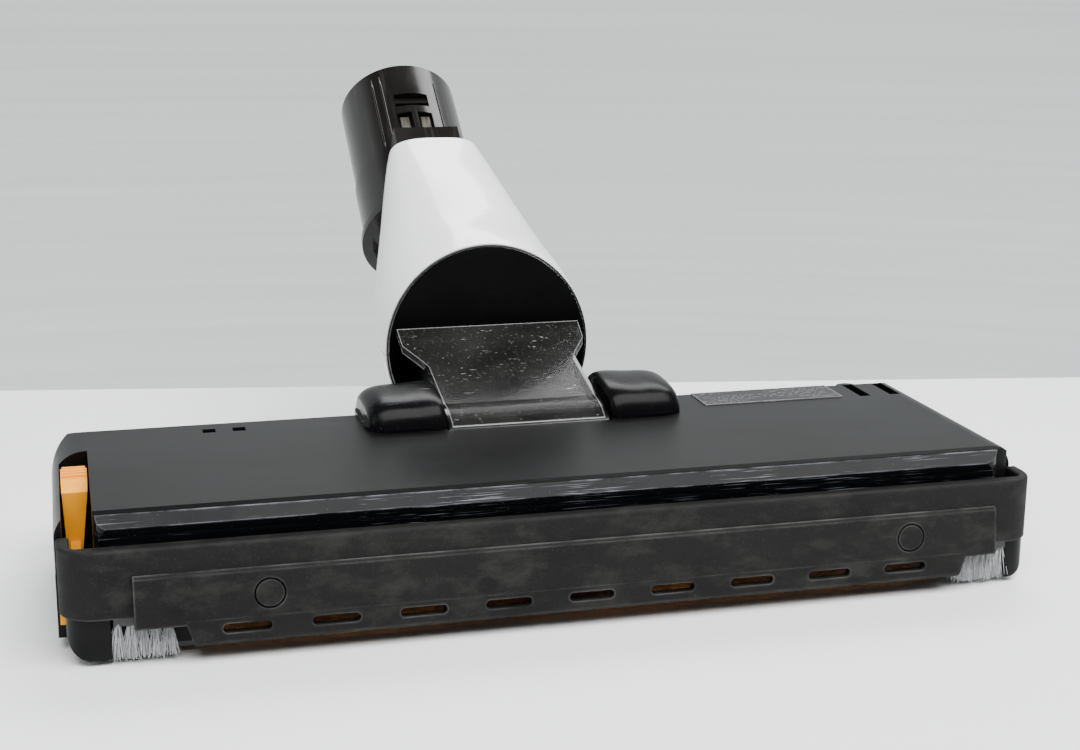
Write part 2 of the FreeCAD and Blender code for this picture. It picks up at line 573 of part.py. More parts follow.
elbow = elbow_form(0).cut(elbow_form(wall))
elbow = elbow.cut(block(-18, 18, -10, hinge_y - 7, hinge_z - 15, hinge_z + 8))
top_thick = 2.23
window_zone = side_prism([(0, 80), (0, hinge_z + 14), (hinge_y - 4, hinge_z + 16), (hinge_y, hinge_z + 16.79),
                          (47.9, 48.3 - top_thick), (disc_y, 55.2 - top_thick), (disc_y + 1, 80)], -60, 60)
flare_side = [(22.6, 0), (22.6, 44), (24.0, 48), (28.6, 54.5), (28.9, disc_y)]
flare_outline = flare_side + [(-x, y) for x, y in reversed(flare_side)] + flare_side[:1]
flare = Part.Face(Part.makePolygon([V(x, y, 30) for x, y in flare_outline])).extrude(V(0, 0, 40))
plate = side_prism([(46, 47.8), (47.9, 48.3), (disc_y, 55.2), (disc_y, 53.0), (47.9, 46.1), (46, 45.6)],
                   -40, 40)
window = elbow.common(window_zone).fuse(plate).common(flare)
window = window.cut(cylinder_x(hinge_y, hinge_z, barrel - wall, -60, 60))
air_hole = cylinder_y(0, size("air_hole_z"), size("air_hole_radius"), disc_y - 5, disc_y + 20)
rear_wall = block(-barrel_half, barrel_half, disc_y - wall, disc_y, 21, 52.5).common(elbow_form(0))
elbow = elbow.fuse(rear_wall.cut(air_hole)).cut(window_zone.common(flare))
flange = cylinder_y(0, disc_z, size("plug_disc_radius"), disc_y, disc_y + 2.8)
flange = flange.fuse(cylinder_y(0, disc_z, size("disc_radius"), disc_y, disc_y + 0.9))
collar = cylinder_y(0, disc_z, size("collar_radius"), disc_y + 2.8, disc_y + 13)
collar_bore = cylinder_y(0, disc_z, size("collar_radius") - 2.4, disc_y + 1, disc_y + 20)
solid_node("elbow_duct", elbow.removeSplitter())
solid_node("clear_window", window.removeSplitter())
solid_node("elbow_flange", flange.cut(air_hole))
solid_node("swivel_collar", collar.cut(collar_bore))
retainer = cylinder_y(0, disc_z, size("collar_radius") + 2.6, disc_y + 11.2, disc_y + 12.8)
retainer = retainer.cut(cylinder_y(0, disc_z, size("collar_radius") + 0.02, disc_y, disc_y + 20))
solid_node("swivel_retainer", retainer)
pins = [cylinder_x(hinge_y, hinge_z, pin_radius, -36.8, -barrel_half),
        cylinder_x(hinge_y, hinge_z, pin_radius, barrel_half, 36.8)]
solid_node("trunnion_pins", Part.makeCompound(pins))

# ---------------------------------------------------------------------------
# Neck: the white shells, the hose and the connector pipe
# ---------------------------------------------------------------------------
tilt = math.radians(size("pipe_tilt"))
pipe_start = V(0, size("pipe_y"), size("pipe_z"))
pipe_way = V(0, math.cos(tilt), math.sin(tilt))
pipe_up = V(0, -math.sin(tilt), math.cos(tilt))


def ellipse_at(y, z, lean, half_wide, half_high, fullness=2.0):
    """A closed section across the neck; lean is the angle of its normal above +Y.

    A fullness of 2 gives an ellipse, and more gives squarer corners.
    """
    angle = math.radians(lean)
    up = V(0, -math.sin(angle), math.cos(angle))
    points = []
    count = 20
    for index in range(count):
        turn = 2 * math.pi * index / count
        reach = (abs(math.cos(turn)) ** fullness + abs(math.sin(turn)) ** fullness) ** (-1 / fullness)
        offset = V(half_wide * reach * math.cos(turn), 0, 0) + up * (half_high * reach * math.sin(turn))
        points.append(V(0, y, z) + offset)
    curve = Part.BSplineCurve()
    curve.interpolate(points, PeriodicFlag=True)
    return Part.Wire([curve.toShape()])


def neck_form(inset):
    ring = size("ring_radius") - inset
    sections = [(disc_y + 1.2 - 0.01 * inset, disc_z, 0, ring, ring),
                (82, 53.3, 8, 32.0 - inset, 31.6 - inset),
                (101, 62.0, 22, 28.6 - inset, 28.2 - inset, 2.1),
                (118, 73.5, 32, 24.0 - inset, 23.6 - inset, 2.3),
                (133, 85.6, 36, 19.8 - inset, 16.6 - inset, 2.6),
                (146 - 0.5 * inset, 97.0 - 0.4 * inset, 38, 15.6 - inset, 9.6 - inset, 3.0)]
    return Part.makeLoft([ellipse_at(*section) for section in sections], True, False)


def along_pipe(radius, first, last):
    return Part.makeCylinder(radius, last - first, pipe_start + pipe_way * first, pipe_way)


def hose_form(radius):
    sections = [ellipse_at(77.5, 48.3, 0, radius, radius), ellipse_at(92, 49, 6, radius, radius),
                ellipse_at(108, 50.5, 14, radius, radius), ellipse_at(122, 52, 24, radius, radius),
                ellipse_at(136, 55, 34, radius, radius)]
    return Part.makeLoft(sections, True, False)


outer_neck = neck_form(0)
shell = outer_neck.cut(neck_form(wall))
shell = shell.cut(cylinder_y(0, disc_z, size("plug_disc_radius") + 0.3, disc_y - 2, disc_y + 14))
shell = shell.cut(along_pipe(16.9, -40, 30))
shell = shell.cut(along_pipe(size("root_radius") + 0.5, -0.5, 90))
shell = shell.cut(along_pipe(size("root_radius") + 1.9, -0.5, 3.1))
shell = shell.cut(hose_form(size("hose_radius") + gap))
split = size("split")
upper = shell.common(block(-60, 60, 40, 200, split, 140))
lower = shell.common(block(-60, 60, 40, 200, -5, split - size("seam")))
solid_node("upper_shell", max(upper.Solids, key=lambda body: body.Volume))
solid_node("lower_shell", max(lower.Solids, key=lambda body: body.Volume))
rim = cylinder_y(0, disc_z, size("rim_radius"), disc_y + 0.2, disc_y + 1.15)
solid_node("rim_ring", rim.cut(cylinder_y(0, disc_z, size("disc_radius") + 0.3, disc_y - 1, disc_y + 3)))
swivel = cylinder_y(0, disc_z, size("plug_disc_radius") + 0.3, disc_y + 4.0, disc_y + 10.8)
swivel = swivel.common(neck_form(wall))
solid_node("swivel_ring", swivel.cut(cylinder_y(0, disc_z, size("collar_radius") + 0.06, 0, disc_y + 20)))

hose_bore = hose_form(size("hose_radius") - size("hose_thick"))
solid_node("air_hose", hose_form(size("hose_radius")).cut(hose_bore))
solid_node("inner_tube", along_pipe(16.6, -18, 20).cut(along_pipe(14.6, -19, 21)).cut(
    Part.makeCylinder(11.8, 30, V(0, 122, 49), V(0, 0.83, 0.55))))

pipe_long, pipe_radius, pipe_bore = size("pipe_long"), size("pipe_radius"), size("pipe_bore")


def on_pipe(x0, x1, s0, s1, n0, n1):
    """A block in the pipe's own directions: across, along its axis, and out from the axis."""
    corner = pipe_start + V(x0, 0, 0) + pipe_way * s0 + pipe_up * n0
    piece = Part.makeBox(x1 - x0, s1 - s0, n1 - n0)
    piece.Placement = FreeCAD.Placement(corner, FreeCAD.Rotation(V(1, 0, 0), size("pipe_tilt")))
    return piece


def at_pipe(shape):
    """Bring a piece's placement into its geometry."""
    return Part.Compound([shape]).Solids[0]


pipe = along_pipe(pipe_radius, 0, pipe_long).fuse(along_pipe(size("root_radius"), 0, size("stub_start")))
pipe = pipe.fuse(along_pipe(size("root_radius") + 1.5, 0, 2.6))
pipe = pipe.cut(along_pipe(pipe_bore, 21, pipe_long + 1))
pipe = pipe.cut(along_pipe(16.7, -1, 22))
pipe = pipe.cut(along_pipe(pipe_radius - 1.6, -1, 5))
terminal_x, terminal_first, terminal_last = size("terminal_x"), size("terminal_first"), size("terminal_last")
latch_first, latch_last = size("latch_first"), size("latch_last")
pipe = pipe.cut(on_pipe(-6.2, 6.2, latch_first, latch_last, pipe_radius - 2.6, pipe_radius + 2))
for x in (-terminal_x, terminal_x):
    slot = on_pipe(x - 2.7, x + 2.7, terminal_first, terminal_last, pipe_radius - 3.0, pipe_radius + 2)
    pipe = pipe.cut(slot)
solid_node("connector_pipe", pipe.removeSplitter())
bar_first = latch_first + 2.5
solid_node("latch_bar", on_pipe(-6.1, 6.1, bar_first, bar_first + 1.4, pipe_radius - 2.5, pipe_radius - 1.4))
contacts = []
for x in (-terminal_x, terminal_x):
    strip = on_pipe(x - 1.6, x + 1.6, terminal_first + 1, terminal_last - 1,
                    pipe_radius - 2.95, pipe_radius - 1.9)
    contacts.append(at_pipe(strip))
solid_node("terminal_contacts", Part.makeCompound(contacts))
housing = on_pipe(-11.5, 11.5, -2, 25.6, pipe_radius - 2, pipe_radius + 8.5)
housing = housing.cut(along_pipe(size("root_radius") + 1.6, -5, 60)).cut(outer_neck)
for x in (-terminal_x, terminal_x):
    housing = housing.cut(on_pipe(x - 2.7, x + 2.7, 10, 30, pipe_radius + 2, pipe_radius + 6))
solid_node("terminal_block", max(housing.Solids, key=lambda body: body.Volume))

# ---------------------------------------------------------------------------
# Check every object, then write one file for each sub-part
# ---------------------------------------------------------------------------
doc.recompute()
for item in doc.Objects:
    if "Invalid" in item.State or "Error" in item.State:
        raise RuntimeError(item.Label + " did not build")
for item in NODES:
    if item.Shape.isNull() or not item.Shape.isValid() or not item.Shape.Solids:
        raise RuntimeError(item.Label + " has no valid shape")
for item in NODES:
    item.Shape.exportStep("parts/%s.step" % item.Label)
    area = item.Shape.BoundBox
    print("%-20s %2d solids %9.1f mm3  x %7.1f %7.1f  y %7.1f %7.1f  z %6.1f %6.1f" % (
        item.Label, len(item.Shape.Solids), item.Shape.Volume, area.XMin, area.XMax, area.YMin, area.YMax,
        area.ZMin, area.ZMax))
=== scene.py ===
import json
import math
import random

import bpy
from mathutils import Matrix, Vector


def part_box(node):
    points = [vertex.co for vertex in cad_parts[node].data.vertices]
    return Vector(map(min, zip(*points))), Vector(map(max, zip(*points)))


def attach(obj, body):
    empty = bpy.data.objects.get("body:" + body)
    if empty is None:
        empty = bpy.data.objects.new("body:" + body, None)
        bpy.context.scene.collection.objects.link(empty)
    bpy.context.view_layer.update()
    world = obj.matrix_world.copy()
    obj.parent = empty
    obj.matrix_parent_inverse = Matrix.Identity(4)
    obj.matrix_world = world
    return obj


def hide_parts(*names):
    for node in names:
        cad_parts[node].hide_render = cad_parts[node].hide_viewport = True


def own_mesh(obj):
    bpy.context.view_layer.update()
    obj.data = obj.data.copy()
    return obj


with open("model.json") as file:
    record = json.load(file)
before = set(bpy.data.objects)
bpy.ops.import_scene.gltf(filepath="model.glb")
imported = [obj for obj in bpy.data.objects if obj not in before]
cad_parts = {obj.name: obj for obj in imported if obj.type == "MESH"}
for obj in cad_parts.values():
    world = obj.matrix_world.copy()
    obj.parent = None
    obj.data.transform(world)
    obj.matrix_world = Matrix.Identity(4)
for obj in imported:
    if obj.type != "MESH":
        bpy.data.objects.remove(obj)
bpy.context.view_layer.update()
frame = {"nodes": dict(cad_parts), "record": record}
NODES = frame["nodes"]
MM = 0.001


# ---------------------------------------------------------------------------
# Node-tree helpers
# ---------------------------------------------------------------------------
class Shade:
    """A material's node tree, with one short call for each kind of node."""

    def __init__(self, name):
        self.material = bpy.data.materials.new(name)
        self.material.use_nodes = True
        self.tree = self.material.node_tree
        self.shader = self.tree.nodes["Principled BSDF"]
        self.place = self.add("ShaderNodeTexCoord").outputs["Object"]

    def add(self, kind, **settings):
        node = self.tree.nodes.new(kind)
        for key, value in settings.items():
            setattr(node, key, value)
        return node

    def join(self, source, target):
        self.tree.links.new(source, target)

    def fill(self, node, values):
        for key, value in values.items():
            if isinstance(value, bpy.types.NodeSocket):
                self.join(value, node.inputs[key])
            else:
                node.inputs[key].default_value = value

    def stretch(self, scale):
        mapping = self.add("ShaderNodeMapping")
        self.fill(mapping, {"Vector": self.place, "Scale": scale})
        return mapping.outputs["Vector"]

    def noise(self, scale, detail=4.0, rough=0.55, stretch=None):
        node = self.add("ShaderNodeTexNoise")
        source = self.stretch(stretch) if stretch else self.place
        self.fill(node, {"Vector": source, "Scale": scale, "Detail": detail, "Roughness": rough})
        return node.outputs["Fac"]

    def cells(self, scale, feature="F1", stretch=None):
        node = self.add("ShaderNodeTexVoronoi", feature=feature)
        source = self.stretch(stretch) if stretch else self.place
        self.fill(node, {"Vector": source, "Scale": scale})
        return node.outputs["Distance"]

    def span(self, source, low, high, to_low=0.0, to_high=1.0):
        node = self.add("ShaderNodeMapRange")
        self.fill(node, {"Value": source, "From Min": low, "From Max": high, "To Min": to_low,
                         "To Max": to_high})
        return node.outputs["Result"]

    def maths(self, kind, first, second=0.5):
        """One sum, held between 0 and 1."""
        node = self.add("ShaderNodeMath", operation=kind, use_clamp=True)
        self.fill(node, {0: first, 1: second})
        return node.outputs["Value"]

    def maths_free(self, kind, first, second):
        """One sum, with no limit on its result."""
        node = self.add("ShaderNodeMath", operation=kind)
        self.fill(node, {0: first, 1: second})
        return node.outputs["Value"]

    def blend(self, amount, first, second):
        node = self.add("ShaderNodeMix", data_type="RGBA")
        for socket, value in ((node.inputs[0], amount), (node.inputs[6], first), (node.inputs[7], second)):
            if isinstance(value, bpy.types.NodeSocket):
                self.join(value, socket)
            elif isinstance(value, (int, float)):
                socket.default_value = value
            else:
                socket.default_value = (*value, 1.0)
        return node.outputs[2]

    def edges(self, radius):
        """Near 1 along convex and concave edges, and 0 on flat faces."""
        bevel = self.add("ShaderNodeBevel", samples=6)
        bevel.inputs["Radius"].default_value = radius
        true_normal = self.add("ShaderNodeNewGeometry").outputs["Normal"]
        dot = self.add("ShaderNodeVectorMath", operation="DOT_PRODUCT")
        self.join(bevel.outputs["Normal"], dot.inputs[0])
        self.join(true_normal, dot.inputs[1])
        return self.span(dot.outputs["Value"], 0.995, 0.86)

    def bump(self, height, strength, distance):
        node = self.add("ShaderNodeBump")
        self.fill(node, {"Height": height, "Strength": strength, "Distance": distance})
        self.join(node.outputs["Normal"], self.shader.inputs["Normal"])

    def surface(self, **values):
        names = {"color": "Base Color", "rough": "Roughness", "metal": "Metallic", "coat": "Coat Weight",
                 "coat_rough": "Coat Roughness", "alpha": "Alpha", "specular": "Specular IOR Level",
                 "sheen": "Sheen Weight", "ior": "IOR", "passing": "Transmission Weight"}
        for key, value in values.items():
            socket = self.shader.inputs[names[key]]
            if isinstance(value, bpy.types.NodeSocket):
                self.join(value, socket)
            elif key == "color":
                socket.default_value = (*value, 1.0)
            else:
                socket.default_value = value
        return self.material


# ---------------------------------------------------------------------------
# Materials
# ---------------------------------------------------------------------------
def hairline_scratches(shade, lengthwise, across, threshold):
    """Sparse fine lines, longer along X, broken up by a slow noise."""
    lines = shade.noise(1.0, 2.0, 0.5, stretch=(lengthwise, across, across))
    patches = shade.noise(38.0, 3.0)
    fine = shade.span(lines, threshold, threshold + 0.05)
    return shade.maths("MULTIPLY", fine, shade.span(patches, 0.46, 0.62))


def black_gloss():
    shade = Shade("black_gloss")
    smears = shade.noise(45.0, 5.0)
    dust = shade.span(shade.noise(900.0, 2.0), 0.66, 0.78, 0.0, 0.35)
    scratches = hairline_scratches(shade, 30.0, 1400.0, 0.66)
    color = shade.blend(dust, (0.003, 0.003, 0.0035), (0.035, 0.035, 0.037))
    color = shade.blend(scratches, color, (0.10, 0.105, 0.115))
    shade.bump(shade.noise(160.0, 3.0), 0.03, 0.0006)
    return shade.surface(color=color, rough=shade.span(smears, 0.3, 0.75, 0.10, 0.22), specular=0.45)


def black_disc():
    """The round face behind the window: black, with only a faint shine."""
    shade = Shade("black_disc")
    smears = shade.noise(60.0, 5.0)
    dust = shade.span(shade.noise(1000.0, 2.0), 0.66, 0.78, 0.0, 0.3)
    color = shade.blend(dust, (0.0015, 0.0015, 0.0018), (0.02, 0.02, 0.022))
    shade.bump(shade.noise(200.0, 3.0), 0.03, 0.0005)
    return shade.surface(color=color, rough=shade.span(smears, 0.3, 0.75, 0.16, 0.3), specular=0.04)


def housing_black():
    """The lower housing: black moulding that has lost most of its shine, with dust in its corners."""
    shade = Shade("housing_black")
    clouds = shade.noise(60.0, 5.0)
    dust = shade.span(shade.noise(1200.0, 2.0), 0.66, 0.78, 0.0, 0.3)
    worn = shade.maths("MULTIPLY", shade.edges(0.0006), shade.span(shade.noise(150.0, 4.0), 0.42, 0.62))
    color = shade.blend(shade.span(clouds, 0.3, 0.7), (0.003, 0.003, 0.0032), (0.008, 0.008, 0.0082))
    color = shade.blend(dust, color, (0.03, 0.03, 0.03))
    color = shade.blend(shade.maths("MULTIPLY", worn, 0.35), color, (0.08, 0.08, 0.08))
    shade.bump(shade.noise(900.0, 3.0), 0.1, 0.0002)
    return shade.surface(color=color, rough=shade.span(clouds, 0.3, 0.7, 0.3, 0.5), specular=0.1)


def cap_gloss():
    """The hoods over the hinge: black, polished by handling to a soft shine."""
    shade = Shade("cap_gloss")
    smears = shade.noise(70.0, 5.0)
    dust = shade.span(shade.noise(1100.0, 2.0), 0.64, 0.78, 0.0, 0.35)
    scratches = hairline_scratches(shade, 120.0, 1600.0, 0.66)
    color = shade.blend(dust, (0.003, 0.003, 0.0035), (0.04, 0.04, 0.042))
    color = shade.blend(scratches, color, (0.12, 0.12, 0.125))
    shade.bump(shade.noise(150.0, 3.0), 0.04, 0.0006)
    return shade.surface(color=color, rough=shade.span(smears, 0.3, 0.75, 0.2, 0.32), specular=0.09)


def trim_gloss():
    """The bevelled strip along the front: gloss black, rubbed grey by furniture."""
    shade = Shade("trim_gloss")
    rubs = hairline_scratches(shade, 60.0, 2600.0, 0.60)
    nicks = shade.span(shade.cells(420.0, stretch=(1.0, 2.2, 2.2)), 0.1, 0.03)
    wear = shade.maths("MAXIMUM", rubs, shade.maths("MULTIPLY", nicks, 0.5))
    edge = shade.maths("MULTIPLY", shade.edges(0.0007), shade.span(shade.noise(120.0), 0.4, 0.62))
    wear = shade.maths("MAXIMUM", wear, shade.maths("MULTIPLY", edge, 0.8))
    color = shade.blend(wear, (0.003, 0.0033, 0.004), (0.15, 0.16, 0.18))
    shade.bump(wear, 0.25, 0.0002)
    rough = shade.span(shade.noise(70.0), 0.35, 0.7, 0.14, 0.3)
    return shade.surface(color=color, rough=rough, specular=0.09)


def black_satin():
    shade = Shade("black_satin")
    grain = shade.noise(2600.0, 2.0)
    smears = shade.noise(22.0, 5.0, stretch=(0.6, 1.0, 1.0))
    dust = shade.span(shade.noise(1300.0, 2.0), 0.68, 0.8, 0.0, 0.3)
    scratches = hairline_scratches(shade, 45.0, 1500.0, 0.68)
    color = shade.blend(shade.span(smears, 0.35, 0.7), (0.0035, 0.0035, 0.0038), (0.0065, 0.0065, 0.0068))
    color = shade.blend(dust, color, (0.035, 0.035, 0.035))
    color = shade.blend(scratches, color, (0.035, 0.035, 0.037))
    shade.bump(grain, 0.12, 0.0002)
    return shade.surface(color=color, rough=shade.span(smears, 0.3, 0.7, 0.28, 0.39), specular=0.068)


def dusty_rubber():
    """Charcoal rubber with pale dust, downward streaks and scuffed corners."""
    shade = Shade("dusty_rubber")
    clouds = shade.noise(28.0, 6.0, 0.65)
    streaks = shade.noise(1.0, 5.0, 0.65, stretch=(70.0, 90.0, 150.0))
    specks = shade.span(shade.noise(2200.0, 2.0), 0.62, 0.74)
    base = shade.blend(shade.span(clouds, 0.3, 0.72), (0.0052, 0.0052, 0.0051), (0.0125, 0.0125, 0.0121))
    base = shade.blend(shade.span(streaks, 0.5, 0.72, 0.0, 0.55), base, (0.033, 0.033, 0.031))
    base = shade.blend(shade.maths("MULTIPLY", specks, 0.2), base, (0.08, 0.08, 0.077))
    patches = shade.span(shade.noise(130.0, 7.0, 0.75), 0.54, 0.74, 0.0, 0.4)
    base = shade.blend(patches, base, (0.025, 0.025, 0.0235))
    worn = shade.maths("MULTIPLY", shade.edges(0.0009), shade.span(shade.noise(90.0, 5.0), 0.36, 0.6))
    base = shade.blend(shade.maths("MULTIPLY", worn, 0.6), base, (0.10, 0.099, 0.096))
    shade.bump(shade.noise(1800.0, 3.0), 0.25, 0.00025)
    return shade.surface(color=base, rough=shade.span(clouds, 0.3, 0.7, 0.55, 0.82), specular=0.13)


def white_gloss():
    shade = Shade("white_gloss")
    tone = shade.noise(14.0, 4.0)
    specks = shade.span(shade.cells(260.0), 0.05, 0.02, 0.0, 0.5)
    color = shade.blend(shade.span(tone, 0.3, 0.7), (0.93, 0.94, 0.94), (0.97, 0.975, 0.975))
    color = shade.blend(specks, color, (0.42, 0.40, 0.37))
    color = shade.blend(hairline_scratches(shade, 80.0, 900.0, 0.7), color, (0.55, 0.56, 0.57))
    shade.bump(shade.noise(120.0, 3.0), 0.02, 0.0005)
    return shade.surface(color=color, rough=shade.span(tone, 0.3, 0.7, 0.18, 0.27), coat=0.4, coat_rough=0.06)


def pipe_black():
    """Dark brownish-black moulding with a deep shine."""
    shade = Shade("pipe_black")
    slide_marks = shade.noise(1.0, 3.0, 0.6, stretch=(900.0, 30.0, 30.0))
    color = shade.blend(shade.span(slide_marks, 0.56, 0.74, 0.0, 0.5), (0.007, 0.0058, 0.0052),
                        (0.045, 0.041, 0.038))
    shade.bump(shade.noise(140.0, 3.0), 0.03, 0.0005)
    rough = shade.span(shade.noise(60.0), 0.3, 0.7, 0.12, 0.24)
    return shade.surface(color=color, rough=rough, specular=0.36)


def smoky_window():
    shade = Shade("smoky_window")
    film = shade.noise(55.0, 5.0)
    dust = shade.span(shade.noise(1100.0, 2.0), 0.64, 0.76, 0.0, 0.6)
    # The edge mask paints a highlight along the window's edges: it lightens the colour and raises the opacity
    # there.
    edge = shade.edges(0.0006)
    scratches = hairline_scratches(shade, 300.0, 900.0, 0.66)
    color = shade.blend(shade.span(film, 0.3, 0.75), (0.011, 0.011, 0.0105), (0.032, 0.032, 0.031))
    color = shade.blend(shade.maths("MAXIMUM", dust, scratches), color, (0.36, 0.36, 0.34))
    # Painted highlight: the window's edges are lightened to a pale grey.
    color = shade.blend(shade.maths("MULTIPLY", edge, 0.75), color, (0.42, 0.44, 0.42))
    alpha = shade.maths("ADD", shade.span(film, 0.3, 0.75, 0.58, 0.72), shade.maths("MULTIPLY", edge, 0.25))
    shade.bump(film, 0.04, 0.0005)
    rough = shade.span(film, 0.3, 0.7, 0.12, 0.26)
    return shade.surface(color=color, rough=rough, alpha=alpha, specular=0.07)


def orange_plastic():
    shade = Shade("orange_plastic")
    tone = shade.noise(60.0, 4.0)
    scuff = shade.maths("MULTIPLY", shade.edges(0.0008), shade.span(shade.noise(170.0, 4.0), 0.4, 0.6))
    rubs = hairline_scratches(shade, 1400.0, 60.0, 0.6)
    color = shade.blend(shade.span(tone, 0.3, 0.7), (0.98, 0.36, 0.005), (1.0, 0.42, 0.010))
    scuff = shade.maths("MAXIMUM", shade.maths("MULTIPLY", scuff, 0.3), shade.maths("MULTIPLY", rubs, 0.25))
    color = shade.blend(scuff, color, (0.92, 0.45, 0.10))
    shade.bump(shade.noise(500.0, 3.0), 0.08, 0.0003)
    return shade.surface(color=color, rough=shade.span(tone, 0.3, 0.7, 0.38, 0.54), specular=0.22)


def moulded(name, dark, light, rough=0.5, grain=900.0):
    """Plain moulded plastic with a fine grain and slow changes of tone."""
    shade = Shade(name)
    tone = shade.noise(60.0, 4.0)
    color = shade.blend(shade.span(tone, 0.3, 0.7), dark, light)
    shade.bump(shade.noise(grain, 3.0), 0.12, 0.0003)
    return shade.surface(color=color, rough=shade.span(tone, 0.3, 0.7, rough - 0.07, rough + 0.07))


def metal(name, dark, light, rough=0.3):
    """Brushed or plated metal with turning marks."""
    shade = Shade(name)
    marks = shade.noise(1.0, 3.0, 0.6, stretch=(2400.0, 160.0, 160.0))
    color = shade.blend(shade.span(marks, 0.3, 0.7), dark, light)
    shade.bump(marks, 0.08, 0.0002)
    worn = shade.span(marks, 0.3, 0.7, rough - 0.08, rough + 0.12)
    return shade.surface(color=color, rough=worn, metal=1.0)


def fibres(name, root, tip):
    shade = Shade(name)
    strands = shade.noise(1.0, 3.0, 0.6, stretch=(4200.0, 4200.0, 500.0))
    color = shade.blend(shade.span(strands, 0.3, 0.7), root, tip)
    shade.bump(strands, 0.1, 0.0001)
    return shade.surface(color=color, rough=0.5, sheen=0.3)


def rating_film():
    """A grey film printed with a border and rows of small unreadable marks."""
    shade = Shade("rating_film")
    parts = shade.add("ShaderNodeSeparateXYZ")
    shade.join(shade.place, parts.inputs["Vector"])
    row = shade.maths("FRACT", shade.maths_free("MULTIPLY", parts.outputs["Y"], 620.0))
    rows = shade.maths("MULTIPLY", shade.span(row, 0.42, 0.48), shade.span(row, 0.86, 0.80))
    marks = shade.span(shade.noise(1.0, 2.0, 0.5, stretch=(1500.0, 620.0, 1.0)), 0.50, 0.54)
    lines = shade.span(shade.noise(1.0, 1.0, 0.5, stretch=(60.0, 240.0, 1.0)), 0.44, 0.50)
    ink = shade.maths("MULTIPLY", shade.maths("MULTIPLY", rows, marks), lines)
    edge = shade.edges(0.0006)
    color = shade.blend(shade.noise(40.0), (0.010, 0.010, 0.011), (0.019, 0.019, 0.021))
    color = shade.blend(ink, color, (0.16, 0.16, 0.165))
    color = shade.blend(edge, color, (0.3, 0.3, 0.305))
    shade.bump(shade.noise(1600.0), 0.05, 0.0002)
    return shade.surface(color=color, rough=0.34, specular=0.11)


def circuit_green():
    shade = Shade("circuit_green")
    tracks = shade.span(shade.cells(420.0, "DISTANCE_TO_EDGE"), 0.02, 0.05)
    color = shade.blend(tracks, (0.02, 0.13, 0.045), (0.012, 0.075, 0.03))
    shade.bump(tracks, 0.2, 0.0002)
    return shade.surface(color=color, rough=0.35, coat=0.3)


def pale_floor():
    shade = Shade("pale_floor")
    tone = shade.noise(6.0, 4.0)
    color = shade.blend(shade.span(tone, 0.3, 0.7), (0.95, 0.965, 0.965), (0.98, 0.985, 0.985))
    shade.bump(shade.noise(700.0, 3.0), 0.03, 0.0003)
    return shade.surface(color=color, rough=0.42, specular=0.4)


FINISH = {
    "black_gloss": black_gloss(), "black_satin": black_satin(), "grey_rubber": dusty_rubber(),
    "white_gloss": white_gloss(), "pipe_black": pipe_black(), "smoky_window": smoky_window(),
    "orange_plastic": orange_plastic(), "board": circuit_green(),
    "inner_plastic": moulded("inner_plastic", (0.016, 0.016, 0.017), (0.032, 0.032, 0.034)),
    "label": rating_film(),
    "glide": moulded("glide_plastic", (0.14, 0.14, 0.14), (0.2, 0.2, 0.2)),
    "brush_red": moulded("brush_red", (0.17, 0.012, 0.012), (0.26, 0.022, 0.018), 0.35),
    "blade_rubber": moulded("blade_rubber", (0.88, 0.46, 0.06), (0.93, 0.58, 0.12), 0.45),
    "belt_rubber": moulded("belt_rubber", (0.012, 0.012, 0.012), (0.028, 0.028, 0.028), 0.7),
    "wheel_rubber": moulded("wheel_rubber", (0.05, 0.05, 0.05), (0.09, 0.088, 0.085), 0.65),
    "ring_grey": moulded("ring_grey", (0.010, 0.0105, 0.011), (0.022, 0.0225, 0.023), 0.45),
    "hose": moulded("hose_rubber", (0.03, 0.03, 0.03), (0.055, 0.055, 0.055), 0.45),
    "steel": metal("turned_steel", (0.42, 0.42, 0.43), (0.62, 0.62, 0.63)),
    "brass": metal("sintered_brass", (0.50, 0.34, 0.12), (0.66, 0.48, 0.20)),
    "copper": metal("wound_copper", (0.50, 0.20, 0.09), (0.72, 0.34, 0.18), 0.4),
    "contact": metal("plated_contact", (0.12, 0.11, 0.09), (0.22, 0.20, 0.17), 0.35),
    "white_bristle": fibres("white_fibres", (0.30, 0.31, 0.32), (0.66, 0.67, 0.68)),
    "brush_bristle": fibres("red_fibres", (0.62, 0.10, 0.025), (0.90, 0.24, 0.06)),
}
TRIM = trim_gloss()
CAP = cap_gloss()
NODE_FINISH = {"front_trim": TRIM, "elbow_flange": black_disc(), "base_housing": housing_black(),
               "hinge_cap_left": CAP, "hinge_cap_right": CAP}

for entry in frame["record"]["subparts"]:
    node_name = entry["node"]
    chosen = NODE_FINISH.get(node_name, FINISH[entry["material_slot"]])
    mesh = NODES[node_name].data
    mesh.materials.clear()
    mesh.materials.append(chosen)


# ---------------------------------------------------------------------------
# Mesh helpers
# ---------------------------------------------------------------------------
def mesh_piece(name, points, faces, slot, body, smooth=True):
    mesh = bpy.data.meshes.new(name)
    mesh.from_pydata([tuple(point) for point in points], [], faces)
    mesh.validate()
    if smooth:
        mesh.shade_smooth()
    piece = bpy.data.objects.new(name, mesh)
    bpy.context.scene.collection.objects.link(piece)
    mesh.materials.append(FINISH[slot])
    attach(piece, body)
    return piece


